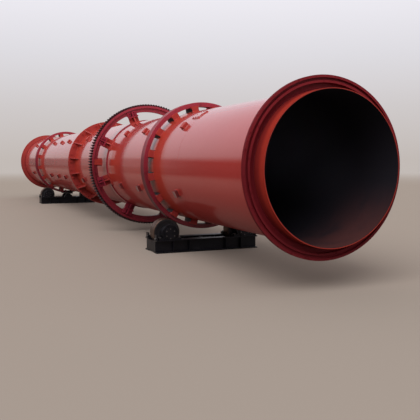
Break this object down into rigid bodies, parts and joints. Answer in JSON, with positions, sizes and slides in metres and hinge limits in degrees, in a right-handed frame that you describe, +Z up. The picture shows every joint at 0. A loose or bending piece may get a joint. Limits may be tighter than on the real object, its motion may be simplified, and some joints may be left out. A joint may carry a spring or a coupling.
{
  "type": "rotary dryer drum on roller frames",
  "caption": "Long open steel drum on two tyres with a girth gear, turning on support rollers in two low floor frames, for drying bulk material.",
  "frame": {"origin": "centre of the footprint on the ground, under the middle of the drum", "axes": "+Y along the drum from the front mouth to the rear, +X across, +Z up"},
  "size_m": [2.484, 19.86, 2.6348],
  "materials": {
    "shell_paint": "glossy orange-red enamel",
    "tyre_paint": "crimson primer",
    "gear_paint": "crimson primer with greased teeth",
    "bracket_paint": "matt orange-red paint",
    "end_paint": "satin red-brown paint",
    "roller_steel": "machined tread, painted sides",
    "frame_paint": "black paint"
  },
  "bodies": {
    "base": {"front_frame_front_beam": "frame_paint", "front_frame_rear_beam": "frame_paint", "front_frame_ties": "frame_paint", "front_bearing_housings": "frame_paint", "front_adjusters": "frame_paint", "rear_frame_front_beam": "frame_paint", "rear_frame_rear_beam": "frame_paint", "rear_frame_ties": "frame_paint", "rear_bearing_housings": "frame_paint", "rear_adjusters": "frame_paint", "thrust_pedestals": "frame_paint"},
    "drum": {"shell_front_course": "shell_paint", "shell_front_tyre_course": "shell_paint", "shell_gear_course": "shell_paint", "shell_middle_course": "shell_paint", "shell_rear_tyre_course": "shell_paint", "shell_rear_course": "shell_paint", "front_collar": "end_paint", "front_end_flange": "end_paint", "front_seal_ring": "end_paint", "rear_collar": "end_paint", "rear_end_flange": "end_paint", "rear_seal_ring": "end_paint", "front_tyre": "tyre_paint", "front_tyre_pads": "bracket_paint", "rear_tyre": "tyre_paint", "rear_tyre_pads": "bracket_paint", "girth_gear": "gear_paint", "gear_brackets": "bracket_paint", "front_joint_flange": "bracket_paint", "front_joint_gussets": "bracket_paint", "rear_joint_flange": "bracket_paint", "rear_joint_gussets": "bracket_paint", "shell_lugs": "bracket_paint", "inspection_cover": "bracket_paint"},
    "front_left_support_roller": {"front_left_roller": "roller_steel", "front_left_roller_shaft": "roller_steel"},
    "front_right_support_roller": {"front_right_roller": "roller_steel", "front_right_roller_shaft": "roller_steel"},
    "rear_left_support_roller": {"rear_left_roller": "roller_steel", "rear_left_roller_shaft": "roller_steel"},
    "rear_right_support_roller": {"rear_right_roller": "roller_steel", "rear_right_roller_shaft": "roller_steel"},
    "front_thrust_wheel": {"front_thrust_roller": "roller_steel"},
    "rear_thrust_wheel": {"rear_thrust_roller": "roller_steel"}
  },
  "joints": [
    {"name": "drum_spin", "type": "hinge", "parent": "base", "child": "drum", "pos_m": [0, 0, 1.39287], "axis": [0, 1, 0], "continuous": true},
    {"name": "front_left_roller_spin", "type": "hinge", "parent": "base", "child": "front_left_support_roller", "pos_m": [-0.66174, -6.125, 0.313], "axis": [0, 1, 0], "continuous": true},
    {"name": "front_right_roller_spin", "type": "hinge", "parent": "base", "child": "front_right_support_roller", "pos_m": [0.66174, -6.125, 0.313], "axis": [0, 1, 0], "continuous": true},
    {"name": "rear_left_roller_spin", "type": "hinge", "parent": "base", "child": "rear_left_support_roller", "pos_m": [-0.66174, 5.88, 0.313], "axis": [0, 1, 0], "continuous": true},
    {"name": "rear_right_roller_spin", "type": "hinge", "parent": "base", "child": "rear_right_support_roller", "pos_m": [0.66174, 5.88, 0.313], "axis": [0, 1, 0], "continuous": true},
    {"name": "front_thrust_spin", "type": "hinge", "parent": "base", "child": "front_thrust_wheel", "pos_m": [0, 5.64, 0.36287], "axis": [0, 0, 1], "continuous": true},
    {"name": "rear_thrust_spin", "type": "hinge", "parent": "base", "child": "rear_thrust_wheel", "pos_m": [0, 6.12, 0.36287], "axis": [0, 0, 1], "continuous": true}
  ],
  "couplings": [
    {"joint": "front_left_roller_spin", "follows": "drum_spin", "ratio": -4.6267},
    {"joint": "front_right_roller_spin", "follows": "drum_spin", "ratio": -4.6267},
    {"joint": "rear_left_roller_spin", "follows": "drum_spin", "ratio": -4.6267},
    {"joint": "rear_right_roller_spin", "follows": "drum_spin", "ratio": -4.6267}
  ]
}
